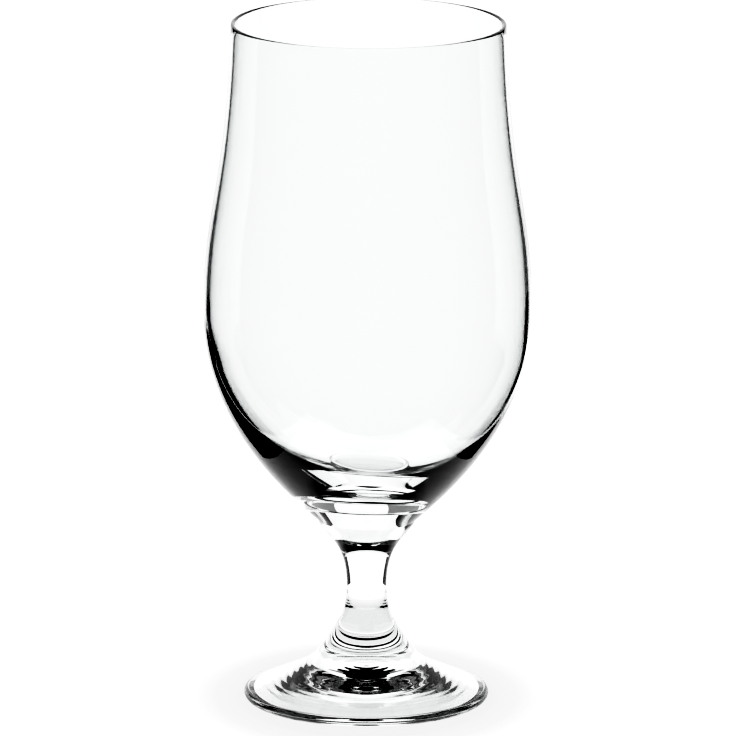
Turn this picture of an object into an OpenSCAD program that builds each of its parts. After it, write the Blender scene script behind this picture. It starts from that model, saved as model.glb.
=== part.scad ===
// Footed pilsner glass: a blown tulip bowl, a solid stem and a pressed foot, fused in a line.
// Millimetres, +Z up. The foot rests on z = 0 and its centre is the origin.

/* [Bowl] */
// Height of the bowl, from its joint with the stem to the crest of the rim
bowl_h = 132; // [115:1:160]
// Largest outer diameter of the bowl, at its belly
belly_d = 85.6; // [78:0.2:100]
// Height of the belly above the joint with the stem
belly_h = 56.5; // [48:0.5:66]
// Outer diameter of the rim
rim_d = 71.5; // [62:0.5:80]
// Diameter of the bowl's bottom, where the stem is fused on
bowl_joint_d = 25.8; // [20:0.2:30]
// Wall of the bowl at the rim
rim_wall = 1.15; // [0.8:0.05:2.5]
// Wall of the bowl at the belly
belly_wall = 1.6; // [0.8:0.05:3]
// Solid glass between the cavity's floor and the joint with the stem
base_t = 11.4; // [8:0.1:20]
// Diameter of the flat pad in the middle of the cavity's floor
pad_d = 22; // [12:0.2:26]

/* [Stem] */
// Length of the stem, from the foot's neck to the bowl
stem_h = 27; // [20:0.5:60]
// Diameter of the stem at its waist
waist_d = 10.4; // [8:0.1:13]
// Height of the waist above the foot's neck
waist_h = 9; // [6:0.5:12]
// Diameter of the neck, where the stem is fused to the foot
neck_d = 14.2; // [13:0.1:20]

/* [Foot] */
// Height of the foot, from the table to the top of its neck
foot_h = 21; // [16:0.5:30]
// Outer diameter of the foot
foot_d = 64.2; // [56:0.2:80]
// Thickness of the foot's rounded edge
edge_t = 2.5; // [1.8:0.1:4]
// Width of the flat ring that the glass rests on
rest_ring_w = 2.3; // [1.5:0.1:6]
// Depth of the hollow under the foot, at its centre
hollow_h = 5.5; // [1:0.1:7]

/* [Hidden] */

// Facets of a full turn, and points along each curve of an outline
turn_facets = 128;
curve_steps = 24;
edge_steps = 8;

// Reach of each curve's ends, as shares of the height or width that the curve spans
belly_rise_share = 0.37;
rim_drop_share = 0.59;
rim_lean_share = 0.03;
belly_drop_share = 0.57;
base_reach_share = 0.126;
cavity_drop_share = 0.525;
floor_reach_share = 0.5;
floor_tilt_share = 0.115;
shoulder_reach_share = 0.3;
waist_rise_share = 0.64;
waist_drop_share = 0.32;
neck_reach_share = 0.3;
flare_drop_share = 0.823;
flare_reach_share = 0.75;
hollow_reach_share = 0.07;
ring_reach_share = 0.576;

// Angles from the vertical at which the outline meets a joint, and the foot's slope at its edge
base_angle = 45;
shoulder_angle = 27.3;
neck_angle = 30.4;
edge_slope = 24.2;

stem_z = foot_h;
waist_z = stem_z + waist_h;
bowl_z = stem_z + stem_h;
belly_z = bowl_z + belly_h;
floor_z = bowl_z + base_t;
rim_z = bowl_z + bowl_h - rim_wall / 2;

belly_r = belly_d / 2;
rim_r = rim_d / 2;
bowl_joint_r = bowl_joint_d / 2;
waist_r = waist_d / 2;
neck_r = neck_d / 2;
pad_r = pad_d / 2;
edge_r = edge_t / 2;
foot_ring_r = foot_d / 2 - edge_r;

// Points on a cubic curve that leaves a towards b and comes in to d from c
function curve(a, b, c, d) = [
    for (i = [0:curve_steps])
        let (t = i / curve_steps, u = 1 - t)
            u^3 * a + 3 * u^2 * t * b + 3 * u * t^2 * c + t^3 * d
];

// Points on an arc about a centre, counter-clockwise from one angle to another
function arc(centre, r, from, to) = [
    for (i = [0:edge_steps])
        let (angle = from + (to - from) * i / edge_steps)
            centre + r * [cos(angle), sin(angle)]
];

function reversed(points) = [for (i = [len(points) - 1:-1:0]) points[i]];

// A point at a distance from another, at an angle from the vertical
function along(from, length, angle) = from + length * [sin(angle), cos(angle)];

// One side of the bowl's wall above the belly, from the belly up to the rim
function upper_wall(inset_belly, inset_rim) =
    let (span = rim_z - belly_z,
         drop = rim_drop_share * span,
         belly = [belly_r - inset_belly, belly_z],
         rim = [rim_r - inset_rim, rim_z])
    curve(belly,
          belly + [0, belly_rise_share * span],
          rim + [rim_lean_share * drop, -drop],
          rim);

// The outer wall below the belly, from the joint with the stem up to the belly
function lower_wall() =
    let (joint = [bowl_joint_r, bowl_z], belly = [belly_r, belly_z])
    curve(joint,
          along(joint, base_reach_share * belly_h, base_angle),
          belly - [0, belly_drop_share * belly_h],
          belly);

// The cavity below the belly, from the belly down to the edge of the flat pad
function cavity_wall() =
    let (span = belly_z - floor_z,
         belly = [belly_r - belly_wall, belly_z],
         pad = [pad_r, floor_z],
         reach = floor_reach_share * (belly[0] - pad_r))
    curve(belly,
          belly - [0, cavity_drop_share * span],
          pad + reach * [1, floor_tilt_share],
          pad);

module turned(points) {
    rotate_extrude($fn = turn_facets) polygon(points);
}

module bowl() {
    color("azure")
        turned(concat([[0, bowl_z]],
                      lower_wall(),
                      upper_wall(0, 0),
                      arc([rim_r - rim_wall / 2, rim_z], rim_wall / 2, 0, 180),
                      reversed(upper_wall(belly_wall, rim_wall)),
                      cavity_wall(),
                      [[0, floor_z]]));
}

module stem() {
    joint = [bowl_joint_r, bowl_z];
    waist = [waist_r, waist_z];
    neck = [neck_r, stem_z];
    upper_h = stem_h - waist_h;
    color("aliceblue")
        turned(concat([[0, stem_z]],
                      curve(neck,
                            along(neck, neck_reach_share * waist_h, -neck_angle),
                            waist - [0, waist_drop_share * waist_h],
                            waist),
                      curve(waist,
                            waist + [0, waist_rise_share * upper_h],
                            along(joint, -shoulder_reach_share * upper_h, shoulder_angle),
                            joint),
                      [[0, bowl_z]]));
}

module foot() {
    neck = [neck_r, stem_z];
    edge = [foot_ring_r, edge_t];
    hollow = [0, hollow_h];
    ring = [foot_ring_r - rest_ring_w, 0];
    drop = flare_drop_share * (stem_z - edge_t);
    reach = flare_reach_share * (foot_ring_r - neck_r);
    color("aliceblue")
        turned(concat(curve(hollow,
                            hollow + [hollow_reach_share * ring[0], 0],
                            ring + [-ring_reach_share * ring[0], hollow_h],
                            ring),
                      arc([foot_ring_r, edge_r], edge_r, -90, 90),
                      curve(edge,
                            edge + reach * [-cos(edge_slope), sin(edge_slope)],
                            along(neck, -drop, -neck_angle),
                            neck),
                      [[0, stem_z]]));
}

bowl();
stem();
foot();
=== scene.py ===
"""Looks of a clear footed pilsner glass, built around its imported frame.

Three turned pieces of soda-lime glass stand for the frame's three nodes: the blown bowl, the drawn
stem and the pressed foot. They meet face to face where the real glass is fused. The table and the
studio round them are white behind the glass and dark beside it, which is what draws clear glass.
"""

import logging
import math
from dataclasses import dataclass, field, replace
from enum import Enum
from itertools import pairwise
from typing import ClassVar, Self

import bmesh
import bpy
from mathutils import Euler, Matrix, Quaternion, Vector
from mathutils.geometry import interpolate_bezier


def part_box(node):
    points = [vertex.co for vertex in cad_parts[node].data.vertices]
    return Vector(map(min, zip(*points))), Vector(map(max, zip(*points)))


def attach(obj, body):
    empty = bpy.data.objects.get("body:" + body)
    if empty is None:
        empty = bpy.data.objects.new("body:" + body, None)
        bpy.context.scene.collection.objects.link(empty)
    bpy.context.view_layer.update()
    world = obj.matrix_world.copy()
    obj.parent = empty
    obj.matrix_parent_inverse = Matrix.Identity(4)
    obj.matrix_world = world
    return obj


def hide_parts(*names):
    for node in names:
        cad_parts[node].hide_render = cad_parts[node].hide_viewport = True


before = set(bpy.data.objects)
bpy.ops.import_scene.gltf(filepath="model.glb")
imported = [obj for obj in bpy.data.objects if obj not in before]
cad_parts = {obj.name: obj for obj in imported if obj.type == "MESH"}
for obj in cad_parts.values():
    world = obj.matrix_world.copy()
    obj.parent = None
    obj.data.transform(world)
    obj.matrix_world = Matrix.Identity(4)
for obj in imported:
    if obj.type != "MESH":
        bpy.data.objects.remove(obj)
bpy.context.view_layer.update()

log = logging.getLogger("pilsner_glass")

MM = 0.001
UM = 0.000001
TURN_STEPS = 256
TURN_SECTORS = 8
CURVE_STEPS = 64
ARC_STEPS = 24
SHARP_EDGE_DEG = 14.0
WELD_MM = 0.0005
HALF_UNIT = 0.5
MIRRORS_SEEN = 3
COMBINED_CURVE = 3


def linear(colour: str) -> tuple[float, float, float, float]:
    """Turns an sRGB hex colour into linear light.

    Args:
        colour: Six hex digits after a number sign.

    Returns:
        Red, green, blue and an alpha of 1.
    """
    shares = [int(colour[i:i + 2], 16) / 255 for i in (1, 3, 5)]
    light = [s / 12.92 if s <= 0.04045 else ((s + 0.055) / 1.055) ** 2.4 for s in shares]
    return (*light, 1.0)


def clear_tree(owner: bpy.types.Material | bpy.types.World) -> bpy.types.NodeTree:
    """Empties the node tree of a material or world.

    Args:
        owner: The material or world.

    Returns:
        Its empty node tree.
    """
    owner.use_nodes = True
    owner.node_tree.nodes.clear()
    return owner.node_tree


def add_node(tree: bpy.types.NodeTree, kind: str, inputs: dict[str | int, object] | None = None,
             **settings: object) -> bpy.types.Node:
    """Adds a node with its settings and fills its inputs.

    Args:
        tree: Node tree that takes the node.
        kind: Type name of the node.
        inputs: Values, sockets to link from, or nodes whose first output to link from, by the
            input's name or number.
        **settings: Properties of the node.

    Returns:
        The new node.
    """
    node = tree.nodes.new(kind)
    for name, value in settings.items():
        setattr(node, name, value)
    for socket, value in (inputs or {}).items():
        if isinstance(value, bpy.types.Node):
            value = value.outputs[0]
        if isinstance(value, bpy.types.NodeSocket):
            tree.links.new(value, node.inputs[socket])
        else:
            node.inputs[socket].default_value = value
    return node


def smooth_share(value: float, low: float, high: float) -> float:
    """Rises smoothly from 0 at low to 1 at high.

    Args:
        value: Where to read the rise.
        low: Start of the rise.
        high: End of the rise.

    Returns:
        A share from 0 to 1.
    """
    share = min(max((value - low) / (high - low), 0.0), 1.0)
    return share * share * (3 - 2 * share)


def along(start: Vector, length: float, angle_deg: float) -> Vector:
    """Finds a point at a distance from another, at an angle from the vertical.

    Args:
        start: Radius and height to start from, in millimetres.
        length: Distance to go, in millimetres.
        angle_deg: Angle from the vertical, outwards, in degrees.

    Returns:
        Radius and height of the point, in millimetres.
    """
    angle = math.radians(angle_deg)
    return start + length * Vector((math.sin(angle), math.cos(angle)))


class Forming(Enum):
    """How a piece of the glass was made, which sets how even its surface is."""

    BLOWN = "blown"
    DRAWN = "drawn"
    PRESSED = "pressed"


@dataclass(frozen=True)
class SodaLimeGlass:
    """Clear soda-lime glass with a fire-polished surface.

    It is colourless and very smooth, so the eye reads it by its bent and mirrored light alone. What
    forming leaves on it is a faint, wide waviness that makes the bright and dark lines wander.
    """

    forming: Forming
    wave_mm: float
    wave_height_um: float
    tint: str = "#FDFEFE"
    ior: float = 1.52
    roughness: float = 0.0

    def material(self) -> bpy.types.Material:
        """Builds the glass as a refracting surface with its waviness in object coordinates.

        Returns:
            The material.
        """
        material = bpy.data.materials.new(f"soda_lime_glass_{self.forming.value}")
        tree = clear_tree(material)
        place = add_node(tree, "ShaderNodeTexCoord").outputs["Object"]
        wave = add_node(tree, "ShaderNodeTexNoise",
                        {"Vector": place, "Scale": 1 / (self.wave_mm * MM), "Detail": 1.0})
        bump = add_node(tree, "ShaderNodeBump",
                        {"Height": wave.outputs["Fac"], "Strength": 1.0,
                         "Distance": self.wave_height_um * UM})
        glass = add_node(tree, "ShaderNodeBsdfPrincipled",
                         {"Base Color": linear(self.tint), "Transmission Weight": 1.0,
                          "IOR": self.ior, "Roughness": self.roughness, "Normal": bump})
        add_node(tree, "ShaderNodeOutputMaterial", {"Surface": glass})
        return material


@dataclass(frozen=True)
class FusedJoint:
    """Inside of a joint where two gathers were fused hot: one glass runs on into the next, unseen."""

    def material(self) -> bpy.types.Material:
        """Builds a surface that lets all light straight through.

        Returns:
            The material.
        """
        material = bpy.data.materials.new("fused_glass_joint")
        tree = clear_tree(material)
        clear = add_node(tree, "ShaderNodeBsdfTransparent")
        add_node(tree, "ShaderNodeOutputMaterial", {"Surface": clear})
        return material


@dataclass
class HalfSection:
    """Half section of a turned piece, drawn from the axis back to the axis, in millimetres.

    Each point is a radius and a height, with how far the surface there sinks per millimetre of X.
    """

    points: list[Vector] = field(default_factory=list)
    sinks: list[float] = field(default_factory=list)

    def add(self, points: list[Vector]) -> None:
        """Adds points, leaving out any that repeats the one before it.

        Args:
            points: Points of radius and height.
        """
        for point in points:
            if not self.points or (point - self.points[-1]).length > WELD_MM:
                self.points.append(point)
                self.sinks.append(0.0)

    def curve(self, start: Vector, leave: Vector, arrive: Vector, end: Vector) -> None:
        """Adds a cubic curve.

        Args:
            start: Where the curve starts.
            leave: Point that it leaves towards.
            arrive: Point that it comes in from.
            end: Where the curve ends.
        """
        flat = [Vector((*p, 0.0)) for p in (start, leave, arrive, end)]
        self.add([p.to_2d() for p in interpolate_bezier(*flat, CURVE_STEPS + 1)])

    def arc(self, centre: Vector, radius: float, start_deg: float, end_deg: float) -> None:
        """Adds an arc.

        Args:
            centre: Centre of the arc.
            radius: Radius of the arc.
            start_deg: Angle at which it starts, from the outward direction.
            end_deg: Angle at which it ends.
        """
        for step in range(ARC_STEPS + 1):
            angle = math.radians(start_deg + (end_deg - start_deg) * step / ARC_STEPS)
            self.add([centre + radius * Vector((math.cos(angle), math.sin(angle)))])

    def bead(self, start: Vector, width: float, height: float) -> None:
        """Adds a low rounded bead that runs in towards the axis.

        Args:
            start: Where the bead starts.
            width: How far in it reaches.
            height: How high it stands at its middle.
        """
        for step in range(1, ARC_STEPS + 1):
            share = step / ARC_STEPS
            rise = height * (1 - math.cos(math.tau * share)) / 2
            self.add([start + Vector((-width * share, rise))])


@dataclass
class TurnedPiece:
    """A piece of glass turned about the glass's axis from its half section."""

    name: ClassVar[str]
    node: ClassVar[str]
    slot: ClassVar[str]

    glass: bpy.types.Material
    joint: bpy.types.Material

    def __post_init__(self) -> None:
        """Takes the heights that the piece stands between from its node, in millimetres."""
        self.low_z, self.high_z = (corner.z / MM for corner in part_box(self.node))

    def half_section(self) -> HalfSection:
        """Half section of the piece, which each kind of piece draws."""
        raise NotImplementedError

    def joint_heights(self) -> list[float]:
        """Heights at which the piece is fused to its neighbours, in millimetres."""
        raise NotImplementedError

    def turn(self) -> bmesh.types.BMesh:
        """Turns the half section into a closed shell.

        Returns:
            The shell, with its faces outwards and its joint faces in the second material.
        """
        section = self.half_section()
        shell = bmesh.new()
        sink = shell.verts.layers.float.new("sink")
        chain = [shell.verts.new((p.x * MM, 0.0, p.y * MM)) for p in section.points]
        for vertex, amount in zip(chain, section.sinks):
            vertex[sink] = amount
        edges = [shell.edges.new(pair) for pair in pairwise(chain)]
        # One sector is spun from the outline, and the others are turned copies of it
        axis = {"cent": (0, 0, 0), "axis": (0, 0, 1), "dvec": (0, 0, 0)}
        sector = math.tau / TURN_SECTORS
        bmesh.ops.spin(shell, geom=chain + edges, angle=sector,
                       steps=TURN_STEPS // TURN_SECTORS, **axis)
        bmesh.ops.spin(shell, geom=shell.verts[:] + shell.edges[:] + shell.faces[:],
                       angle=math.tau - sector, steps=TURN_SECTORS - 1, use_duplicate=True, **axis)
        bmesh.ops.remove_doubles(shell, verts=shell.verts, dist=WELD_MM * MM)
        bmesh.ops.recalc_face_normals(shell, faces=shell.faces)
        for vertex in shell.verts:
            vertex.co.z -= vertex[sink] * vertex.co.x
        joints = [z * MM for z in self.joint_heights()]
        for face in shell.faces:
            face.smooth = True
            fused = any(all(abs(v.co.z - z) < WELD_MM * MM for v in face.verts) for z in joints)
            face.material_index = int(fused)
        for edge in shell.edges:
            edge.smooth = edge.calc_face_angle() < math.radians(SHARP_EDGE_DEG)
        return shell

    def build(self) -> bpy.types.Object:
        """Makes the piece, dresses it and puts it in its node's place.

        Returns:
            The finished piece.
        """
        mesh = bpy.data.meshes.new(self.name)
        shell = self.turn()
        shell.to_mesh(mesh)
        shell.free()
        mesh.materials.append(self.glass)
        mesh.materials.append(self.joint)
        piece = bpy.data.objects.new(self.name, mesh)
        bpy.context.scene.collection.objects.link(piece)
        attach(piece, "root")
        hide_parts(self.node)
        return piece


@dataclass
class Bowl(TurnedPiece):
    """Blown tulip bowl: a thin wall, a fire-polished rim and a thick, solid, lens-like bottom.

    The cavity sits a little askew in the thick bottom, as it does in blown glass: it is lower on
    the +X side, and that fades out towards the belly. A low bead runs round the flat pad on the
    cavity's floor. Sizes are in millimetres, angles in degrees from the vertical, and sinks in
    millimetres per millimetre of X, with the shares of the cavity's depth where each comes in.
    """

    name: ClassVar[str] = "blown_bowl"
    node: ClassVar[str] = "bowl"
    slot: ClassVar[str] = "bowl_glass"

    belly_d: float = 85.6
    belly_h: float = 56.5
    rim_d: float = 71.5
    joint_d: float = 25.8
    rim_wall: float = 1.15
    belly_wall: float = 1.6
    base_t: float = 11.4
    pad_d: float = 22.0
    base_angle: float = 45.0
    base_reach: float = 7.12
    belly_drop: float = 32.2
    belly_rise: float = 27.7
    rim_drop: float = 44.2
    rim_lean: float = 1.33
    cavity_drop: float = 23.68
    floor_reach: float = 15.1
    floor_rise: float = 1.74
    bead_w: float = 1.6
    bead_h: float = 0.4
    wall_sink: float = 0.035
    wall_sink_shares: tuple[float, float] = (0.0, 0.3)
    floor_sink: float = 0.06
    floor_sink_shares: tuple[float, float] = (0.7, 1.0)

    def joint_heights(self) -> list[float]:
        """Height of the joint with the stem, in millimetres."""
        return [self.low_z]

    def wall(self, inset_belly: float, inset_rim: float) -> list[Vector]:
        """Handles of one side of the wall above the belly, from the belly up to the rim.

        Args:
            inset_belly: How far it lies inside the outer diameter at the belly.
            inset_rim: How far it lies inside the outer diameter at the rim.

        Returns:
            The curve's four points of radius and height.
        """
        belly = Vector((self.belly_d / 2 - inset_belly, self.low_z + self.belly_h))
        rim = Vector((self.rim_d / 2 - inset_rim, self.high_z - self.rim_wall / 2))
        return [belly, belly + Vector((0, self.belly_rise)),
                rim + Vector((self.rim_lean, -self.rim_drop)), rim]

    def half_section(self) -> HalfSection:
        """Draws the bowl up its outside, over the rim and down its cavity.

        Returns:
            The half section.
        """
        section = HalfSection()
        joint = Vector((self.joint_d / 2, self.low_z))
        pad = Vector((self.pad_d / 2, self.low_z + self.base_t))
        outside = self.wall(0, 0)
        inside = self.wall(self.belly_wall, self.rim_wall)
        belly, rim = outside[0], outside[-1]
        inner_belly = inside[0]
        lip_r = self.rim_wall / 2
        section.add([Vector((0, joint.y)), joint])
        section.curve(joint, along(joint, self.base_reach, self.base_angle),
                      belly - Vector((0, self.belly_drop)), belly)
        section.curve(*outside)
        section.arc(rim - Vector((lip_r, 0)), lip_r, 0, 180)
        section.curve(*reversed(inside))
        cavity_at = len(section.points)
        section.curve(inner_belly, inner_belly - Vector((0, self.cavity_drop)),
                      pad + Vector((self.floor_reach, self.floor_rise)), pad)
        section.bead(pad, self.bead_w, self.bead_h)
        section.add([Vector((0, pad.y))])
        for i in range(cavity_at, len(section.points)):
            depth = (inner_belly.y - section.points[i].y) / (inner_belly.y - pad.y)
            section.sinks[i] = self.sink(depth)
        return section

    def sink(self, depth: float) -> float:
        """How far the cavity sinks per millimetre of X.

        Args:
            depth: Where on the cavity, from 0 at the belly to 1 at its floor.

        Returns:
            Millimetres of sinking per millimetre of X.
        """
        extra = self.floor_sink - self.wall_sink
        return (self.wall_sink * smooth_share(depth, *self.wall_sink_shares)
                + extra * smooth_share(depth, *self.floor_sink_shares))


@dataclass
class Stem(TurnedPiece):
    """Short solid stem, drawn to a waist and flaring up into the bowl.

    Sizes are in millimetres, and angles in degrees from the vertical.
    """

    name: ClassVar[str] = "drawn_stem"
    node: ClassVar[str] = "stem"
    slot: ClassVar[str] = "stem_glass"

    joint_d: float = 25.8
    neck_d: float = 14.2
    waist_d: float = 10.4
    waist_h: float = 9.0
    shoulder_angle: float = 27.3
    shoulder_reach: float = 5.4
    waist_rise: float = 11.52
    waist_drop: float = 2.88
    neck_angle: float = 30.4
    neck_reach: float = 2.7

    def joint_heights(self) -> list[float]:
        """Heights of the joints with the foot and the bowl, in millimetres."""
        return [self.low_z, self.high_z]

    def half_section(self) -> HalfSection:
        """Draws the stem up its outside.

        Returns:
            The half section.
        """
        section = HalfSection()
        neck = Vector((self.neck_d / 2, self.low_z))
        waist = Vector((self.waist_d / 2, self.low_z + self.waist_h))
        joint = Vector((self.joint_d / 2, self.high_z))
        section.add([Vector((0, neck.y)), neck])
        section.curve(neck, along(neck, self.neck_reach, -self.neck_angle),
                      waist - Vector((0, self.waist_drop)), waist)
        section.curve(waist, waist + Vector((0, self.waist_rise)),
                      along(joint, -self.shoulder_reach, self.shoulder_angle), joint)
        section.add([Vector((0, joint.y))])
        return section


@dataclass
class Foot(TurnedPiece):
    """Pressed round foot: a flared neck, a rounded edge, and a hollow inside its resting ring.

    The press leaves faint ripples round the hollow, which fade out before the ring. Sizes are in
    millimetres, the neck's angle in degrees from the vertical and the edge's from the table.
    """

    name: ClassVar[str] = "pressed_foot"
    node: ClassVar[str] = "foot"
    slot: ClassVar[str] = "foot_glass"

    foot_d: float = 64.2
    neck_d: float = 14.2
    edge_t: float = 2.5
    edge_slope: float = 24.2
    edge_reach: float = 17.8
    neck_angle: float = 30.4
    neck_reach: float = 15.2
    rest_ring_w: float = 2.3
    hollow_h: float = 5.5
    crown_reach: float = 2.0
    ring_reach: float = 16.4
    ripple_pitch: float = 2.0
    ripple_h: float = 0.018
    ripple_fade: float = 4.0

    def joint_heights(self) -> list[float]:
        """Height of the joint with the stem, in millimetres."""
        return [self.high_z]

    def half_section(self) -> HalfSection:
        """Draws the foot out along its hollow, round its edge and up its outside.

        Returns:
            The half section.
        """
        section = HalfSection()
        edge_r = self.edge_t / 2
        turn_at = Vector((self.foot_d / 2 - edge_r, edge_r))
        ring = Vector((turn_at.x - self.rest_ring_w, 0))
        crown = Vector((0, self.hollow_h))
        edge = turn_at + Vector((0, edge_r))
        neck = Vector((self.neck_d / 2, self.high_z))
        slope = math.radians(self.edge_slope)
        section.curve(crown, crown + Vector((self.crown_reach, 0)),
                      ring + Vector((-self.ring_reach, self.hollow_h)), ring)
        for point in section.points:
            fade = 1 - smooth_share(point.x, ring.x - self.ripple_fade, ring.x)
            point.y += self.ripple_h * fade * math.cos(math.tau * point.x / self.ripple_pitch)
        section.arc(turn_at, edge_r, -90, 90)
        section.curve(edge, edge + self.edge_reach * Vector((-math.cos(slope), math.sin(slope))),
                      along(neck, -self.neck_reach, -self.neck_angle), neck)
        section.add([Vector((0, neck.y))])
        return section


@dataclass
class PhotoCamera:
    """Long lens that looks down on the table a little, as the photograph was taken."""

    lens_mm: float = 415.5
    sensor_mm: float = 36.0
    aside_mm: float = 0.16
    away_mm: float = 2158.1
    up_mm: float = 590.8
    down_deg: float = 13.105
    roll_deg: float = 0.2
    sees_m: float = 30.0

    def build(self) -> None:
        """Makes the camera and gives it to the scene."""
        camera = bpy.data.cameras.new("photo_camera")
        camera.lens = self.lens_mm
        camera.sensor_width = self.sensor_mm
        camera.clip_end = self.sees_m
        holder = bpy.data.objects.new("photo_camera", camera)
        holder.location = Vector((self.aside_mm, -self.away_mm, self.up_mm)) * MM
        tilt = Euler((math.radians(90 - self.down_deg), 0, 0)).to_quaternion()
        holder.rotation_mode = "QUATERNION"
        holder.rotation_quaternion = tilt @ Quaternion((0, 0, 1), math.radians(self.roll_deg))
        bpy.context.scene.collection.objects.link(holder)
        bpy.context.scene.camera = holder


class Counted(Enum):
    """What is counted on a ray's way: its mirrorings, or the glass surfaces that it crossed."""

    MIRRORINGS = "Glossy Depth"
    CROSSINGS = "Transmission Depth"

    def so_far(self, tree: bpy.types.NodeTree) -> bpy.types.NodeSocket:
        """Gives the count of the ray that meets the surface or world of the tree."""
        return add_node(tree, "ShaderNodeLightPath").outputs[self.value]


@dataclass(frozen=True)
class RoomLight:
    """How bright the studio's white and its dark are."""

    white: float = 1.15
    dark: float = 0.006


@dataclass
class Backdrop:
    """White all round for light that comes straight, and a backdrop in a dark room for the rest.

    Mirrored light sees white from a backdrop behind the glass and from a wider light above it, and
    only dark once it was mirrored more often than MIRRORS_SEEN. Angles are in degrees, turned from
    straight back and raised from level.
    """

    light: RoomLight
    half_deg: float = 47.0
    top_deg: float = 72.0
    top_light_low_deg: float = 28.0
    top_light_high_deg: float = 65.0
    top_light_half_deg: float = 75.0
    feather_deg: float = 1.5

    def build(self) -> None:
        """Makes the world."""
        world = bpy.data.worlds.new("studio")
        bpy.context.scene.world = world
        world.cycles.sampling_method = "NONE"
        tree = clear_tree(world)
        mirrors = Counted.MIRRORINGS.so_far(tree)
        few = add_node(tree, "ShaderNodeMath", {0: mirrors, 1: MIRRORS_SEEN + 1},
                       operation="LESS_THAN")
        lit = add_node(tree, "ShaderNodeMath", {0: self.lit(tree), 1: few}, operation="MULTIPLY")
        room = add_node(tree, "ShaderNodeMapRange",
                        {"Value": lit, "To Min": self.light.dark, "To Max": self.light.white})
        mirrored = add_node(tree, "ShaderNodeMath", {0: mirrors, 1: 0}, operation="GREATER_THAN")
        seen = add_node(tree, "ShaderNodeMix",
                        {"Factor": mirrored, "A": self.light.white, "B": room})
        glow = add_node(tree, "ShaderNodeBackground",
                        {"Strength": seen, "Color": linear("#FFFFFF")})
        add_node(tree, "ShaderNodeOutputWorld", {"Surface": glow})

    def lit(self, tree: bpy.types.NodeTree) -> bpy.types.Node:
        """Finds the directions of the backdrop and of the light above it.

        Args:
            tree: Node tree to build in.

        Returns:
            The node that gives 1 in those directions and 0 elsewhere.
        """
        place = add_node(tree, "ShaderNodeTexCoord").outputs["Generated"]
        way = add_node(tree, "ShaderNodeSeparateXYZ", {"Vector": place}).outputs
        aside = add_node(tree, "ShaderNodeMath", {0: way["X"]}, operation="ABSOLUTE")
        turned = add_node(tree, "ShaderNodeMath", {0: aside, 1: way["Y"]}, operation="ARCTAN2")
        raised = add_node(tree, "ShaderNodeMath", {0: way["Z"]}, operation="ARCSINE")
        backdrop = add_node(tree, "ShaderNodeMath",
                            {0: self.within(tree, turned, self.half_deg),
                             1: self.within(tree, raised, self.top_deg)}, operation="MULTIPLY")
        over = add_node(tree, "ShaderNodeMath",
                        {0: 1.0, 1: self.within(tree, raised, self.top_light_low_deg)},
                        operation="SUBTRACT")
        band = add_node(tree, "ShaderNodeMath",
                        {0: over, 1: self.within(tree, raised, self.top_light_high_deg)},
                        operation="MULTIPLY")
        top_light = add_node(tree, "ShaderNodeMath",
                             {0: band, 1: self.within(tree, turned, self.top_light_half_deg)},
                             operation="MULTIPLY")
        return add_node(tree, "ShaderNodeMath", {0: backdrop, 1: top_light}, operation="MAXIMUM")

    def within(self, tree: bpy.types.NodeTree, angle: bpy.types.Node,
               edge_deg: float) -> bpy.types.Node:
        """Finds where an angle is within an edge, with a smooth fall across the edge.

        Args:
            tree: Node tree to build in.
            angle: The node that gives the angle, in radians.
            edge_deg: Where the fall is halfway, in degrees.

        Returns:
            The node that gives 1 within the edge and 0 beyond it.
        """
        low, high = (math.radians(edge_deg + side * self.feather_deg) for side in (-1, 1))
        return add_node(tree, "ShaderNodeMapRange",
                        {"Value": angle, "From Min": low, "From Max": high, "To Min": 1.0,
                         "To Max": 0.0}, interpolation_type="SMOOTHSTEP")


def put_on_stage(name: str, shape: bmesh.types.BMesh, material: bpy.types.Material) -> None:
    """Puts a piece of the studio in the scene.

    Args:
        name: Name of the piece.
        shape: Its shape, which is freed.
        material: Its material.
    """
    mesh = bpy.data.meshes.new(name)
    shape.to_mesh(mesh)
    shape.free()
    mesh.materials.append(material)
    piece = bpy.data.objects.new(name, mesh)
    bpy.context.scene.collection.objects.link(piece)


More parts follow.
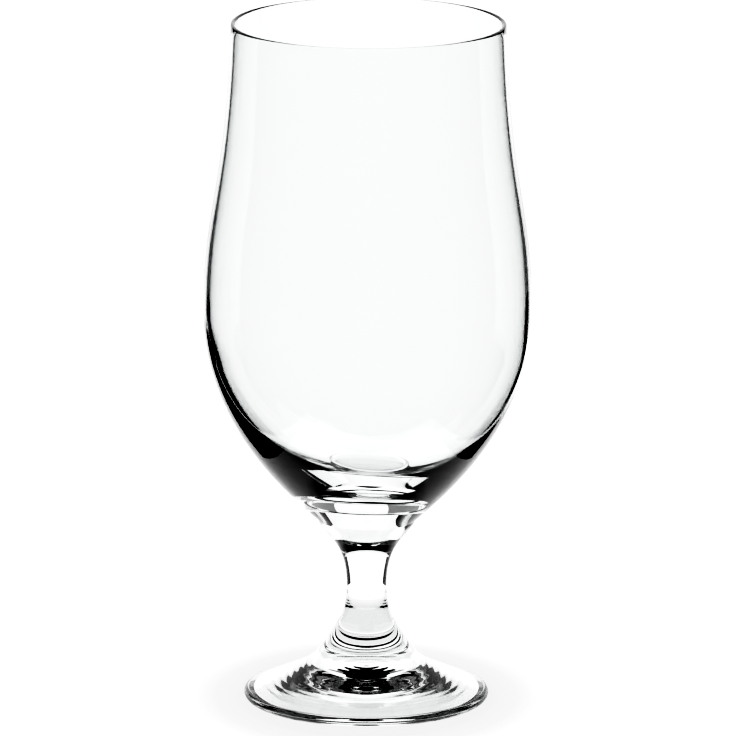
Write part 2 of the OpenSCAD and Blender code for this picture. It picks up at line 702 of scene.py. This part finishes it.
@dataclass
class Table:
    """White table just under the foot, with the soft shade that the foot would leave on it painted
    into its colour.

    The painted shade is a list of distances from the middle along X, in millimetres, and the light
    there.
    A distance along Y counts for shade_y_share of its length. Mirrored light finds the table dark
    from front_mm in front of the glass. Light mirrored more often than MIRRORS_SEEN finds it faint
    near the foot, fading to dark between the two distances of fades_mm.
    """

    light: RoomLight
    radius_m: float = 9.0
    sides: int = 96
    z_mm: float = -0.05
    front_mm: float = 60.0
    fades_mm: tuple[float, float] = (60.0, 140.0)
    faint: float = 0.3
    shade_y_share: float = 0.8
    shade: tuple[tuple[float, float], ...] = (
        (24.0, 0.78), (28.0, 0.8), (32.0, 0.8), (36.0, 0.84),
        (39.0, 0.87), (42.0, 0.955), (44.0, 0.99), (50.0, 1.15))

    def build(self) -> None:
        """Lays the table."""
        disc = bmesh.new()
        bmesh.ops.create_circle(disc, cap_ends=True, segments=self.sides, radius=self.radius_m)
        bmesh.ops.translate(disc, verts=disc.verts, vec=(0, 0, self.z_mm * MM))
        put_on_stage("white_table", disc, self.material())

    def material(self) -> bpy.types.Material:
        """Builds the table's white, glowing surface, with painted shade round the foot.

        Returns:
            The material.
        """
        material = bpy.data.materials.new("white_table")
        material.cycles.emission_sampling = "NONE"
        tree = clear_tree(material)
        place = add_node(tree, "ShaderNodeTexCoord").outputs["Object"]
        pressed = add_node(tree, "ShaderNodeVectorMath",
                           {0: place, 1: (1.0, self.shade_y_share, 0.0)}, operation="MULTIPLY")
        length = add_node(tree, "ShaderNodeVectorMath", {0: pressed}, operation="LENGTH")
        far = length.outputs["Value"]
        # The table's emitted colour carries the foot's shade, painted by distance from the middle
        glow = add_node(tree, "ShaderNodeEmission",
                        {"Color": self.painted_shade(tree, far), "Strength": self.seen(tree, place, far)})
        add_node(tree, "ShaderNodeOutputMaterial", {"Surface": glow})
        return material

    def seen(self, tree: bpy.types.NodeTree, place: bpy.types.NodeSocket,
             far: bpy.types.NodeSocket) -> bpy.types.Node:
        """Finds how bright the table is for light that was mirrored as often as it was.

        Args:
            tree: Node tree to build in.
            place: Place on the table, in metres.
            far: Distance from the middle, in metres.

        Returns:
            The node that gives the brightness.
        """
        mirrors = Counted.MIRRORINGS.so_far(tree)
        depth = add_node(tree, "ShaderNodeSeparateXYZ", {"Vector": place}).outputs["Y"]
        in_front = add_node(tree, "ShaderNodeMath", {0: depth, 1: -self.front_mm * MM},
                            operation="LESS_THAN")
        mirrored = add_node(tree, "ShaderNodeMath", {0: mirrors, 1: 0}, operation="GREATER_THAN")
        dark_front = add_node(tree, "ShaderNodeMath", {0: in_front, 1: mirrored},
                              operation="MULTIPLY")
        clear = add_node(tree, "ShaderNodeMix",
                         {"Factor": dark_front, "A": 1.0, "B": self.light.dark})
        near, away = (distance * MM for distance in self.fades_mm)
        leftover = add_node(tree, "ShaderNodeMapRange",
                            {"Value": far, "From Min": near, "From Max": away,
                             "To Min": self.faint, "To Max": self.light.dark})
        too_many = add_node(tree, "ShaderNodeMath", {0: mirrors, 1: MIRRORS_SEEN},
                            operation="GREATER_THAN")
        return add_node(tree, "ShaderNodeMix", {"Factor": too_many, "A": clear, "B": leftover})

    def painted_shade(self, tree: bpy.types.NodeTree, far: bpy.types.NodeSocket) -> bpy.types.Node:
        """Finds the table's colour, with the foot's shade painted into it.

        Args:
            tree: Node tree to build in.
            far: Distance from the middle, in metres.

        Returns:
            The node that gives the colour.
        """
        # Painted shade: the foot's shade is painted into the table's colour as a ramp by distance
        reach = self.shade[-1][0]
        share = add_node(tree, "ShaderNodeMath", {0: far, 1: reach * MM}, operation="DIVIDE")
        ramp = add_node(tree, "ShaderNodeValToRGB", {"Fac": share})
        ramp.color_ramp.interpolation = "EASE"
        stops = ramp.color_ramp.elements
        for distance, _ in self.shade[1:-1]:
            stops.new(distance / reach)
        for stop, (distance, light) in zip(stops, self.shade):
            stop.position = distance / reach
            stop.color = (light, light, light, 1.0)
        return ramp


class Facing(Enum):
    """Which way a sheet faces, as turns in degrees about X, Y and Z of one that lies flat."""

    UP = (0, 0, 0)
    CAMERA = (90, 0, 0)
    GLASS = (90, 0, 90)


@dataclass(frozen=True)
class PickyCloth:
    """Plain cloth that only light with a count between two bounds meets.

    The bounds are at least 1, so the camera never sees it, nor does light with another count.
    """

    counted: Counted
    fewest: int
    most: int
    tone: str = "#000000"

    def material(self, name: str) -> bpy.types.Material:
        """Builds the cloth of a sheet.

        Args:
            name: Name of the sheet.

        Returns:
            The material.
        """
        material = bpy.data.materials.new(f"cloth_{name}")
        tree = clear_tree(material)
        middle = (self.fewest + self.most) / 2
        room = (self.most - self.fewest + 1) / 2
        meets = add_node(tree, "ShaderNodeMath",
                         {0: self.counted.so_far(tree), 1: middle, 2: room}, operation="COMPARE")
        unseen = add_node(tree, "ShaderNodeBsdfTransparent")
        plain = add_node(tree, "ShaderNodeEmission", {"Color": linear(self.tone)})
        mix = add_node(tree, "ShaderNodeMixShader", {0: meets, 1: unseen, 2: plain})
        add_node(tree, "ShaderNodeOutputMaterial", {"Surface": mix})
        return material


@dataclass(frozen=True)
class Sheet:
    """A flag or card of the studio: a rectangle, or an oval where it has oval_sides.

    Its width and height are those before it is turned to face its way, in millimetres like the
    place of its centre.
    """

    name: str
    facing: Facing
    width: float
    height: float
    centre: tuple[float, float, float]
    cloth: PickyCloth
    oval_sides: int = 0

    def on_side(self, side: int) -> Self:
        """Gives the sheet as it hangs on one side of the glass.

        Args:
            side: 1 for the +X side, or -1 for the other.

        Returns:
            The sheet, with the side in its name.
        """
        x, y, z = self.centre
        return replace(self, name=f"{self.name}_{side}", centre=(side * x, y, z))

    def build(self) -> None:
        """Hangs the sheet."""
        sheet = bmesh.new()
        if self.oval_sides:
            bmesh.ops.create_circle(sheet, cap_ends=True, segments=self.oval_sides,
                                    radius=HALF_UNIT)
        else:
            bmesh.ops.create_grid(sheet, x_segments=1, y_segments=1, size=HALF_UNIT)
        bmesh.ops.scale(sheet, verts=sheet.verts, vec=(self.width * MM, self.height * MM, 1))
        turn = Euler([math.radians(angle) for angle in self.facing.value]).to_matrix()
        bmesh.ops.rotate(sheet, verts=sheet.verts, cent=(0, 0, 0), matrix=turn)
        bmesh.ops.translate(sheet, verts=sheet.verts, vec=Vector(self.centre) * MM)
        put_on_stage(self.name, sheet, self.cloth.material(self.name))


@dataclass
class Flags:
    """Flags beside the glass and cards behind it, which draw its dark lines and patches.

    Those that hang on both sides are given as they hang on the +X side.
    """

    paired: tuple[Sheet, ...] = (
        Sheet("low_flag", Facing.GLASS, width=210.0, height=80.0, centre=(66.0, -45.0, 55.0),
              cloth=PickyCloth(Counted.MIRRORINGS, 1, MIRRORS_SEEN)),
        Sheet("high_flag", Facing.GLASS, width=210.0, height=91.0, centre=(66.0, -45.0, 140.5),
              cloth=PickyCloth(Counted.MIRRORINGS, 1, 2)),
        Sheet("stem_flag", Facing.GLASS, width=67.0, height=67.0, centre=(65.0, 38.5, 41.5),
              cloth=PickyCloth(Counted.CROSSINGS, 2, 2)),
        Sheet("ring_card", Facing.CAMERA, width=17.0, height=25.0, centre=(15.5, 60.0, 62.5),
              cloth=PickyCloth(Counted.MIRRORINGS, 1, 1, tone="#959595")),
        Sheet("shoulder_card", Facing.CAMERA, width=64.0, height=71.0, centre=(76.0, 130.0, 169.5),
              cloth=PickyCloth(Counted.MIRRORINGS, 2, 2)))
    foot_card: Sheet = Sheet(
        "foot_card", Facing.UP, width=16.0, height=76.0, centre=(0.0, 44.0, 45.0),
        cloth=PickyCloth(Counted.MIRRORINGS, 1, MIRRORS_SEEN), oval_sides=96)

    def build(self) -> None:
        """Hangs them all."""
        for side in (-1, 1):
            for sheet in self.paired:
                sheet.on_side(side).build()
        self.foot_card.build()


@dataclass
class Studio:
    """The studio of a product photograph of clear glass, lit from behind.

    Straight through the glass the eye sees white. Light that is mirrored inside it comes from the
    dark room unless it comes from the backdrop, and the contrast curve deepens what is dark.
    """

    light: RoomLight = RoomLight()
    contrast: tuple[tuple[float, float], ...] = (
        (0.1, 0.003), (0.2, 0.06), (0.5, 0.56), (0.8, 0.9), (0.95, 0.965))
    bounces: int = 48

    def build(self) -> None:
        """Makes the world, the table and the flags, and sets up the picture."""
        Backdrop(self.light).build()
        Table(self.light).build()
        Flags().build()
        self.follow_light()
        self.develop()

    def follow_light(self) -> None:
        """Sets how far light is followed, which is far for light that is caught in glass."""
        cycles = bpy.context.scene.cycles
        cycles.max_bounces = self.bounces
        cycles.glossy_bounces = self.bounces
        cycles.transmission_bounces = self.bounces
        cycles.transparent_max_bounces = self.bounces

    def develop(self) -> None:
        """Develops the picture with the strong contrast of a product photograph."""
        view = bpy.context.scene.view_settings
        view.view_transform = "Standard"
        view.use_curve_mapping = True
        combined = view.curve_mapping.curves[COMBINED_CURVE]
        for light, shown in self.contrast:
            combined.points.new(light, shown)
        view.curve_mapping.update()


def main() -> None:
    """Builds the camera, the studio and the three pieces."""
    logging.basicConfig(level=logging.INFO, format="%(name)s: %(message)s")
    PhotoCamera().build()
    Studio().build()
    joint = FusedJoint().material()
    blown = SodaLimeGlass(Forming.BLOWN, wave_mm=26.0, wave_height_um=6.0).material()
    drawn = SodaLimeGlass(Forming.DRAWN, wave_mm=12.0, wave_height_um=2.0).material()
    pressed = SodaLimeGlass(Forming.PRESSED, wave_mm=10.0, wave_height_um=4.0).material()
    for piece in (Bowl(blown, joint), Stem(drawn, joint), Foot(pressed, joint)):
        made = piece.build()
        log.info("%s: %d faces", made.name, len(made.data.polygons))


if __name__ == "__main__":
    main()
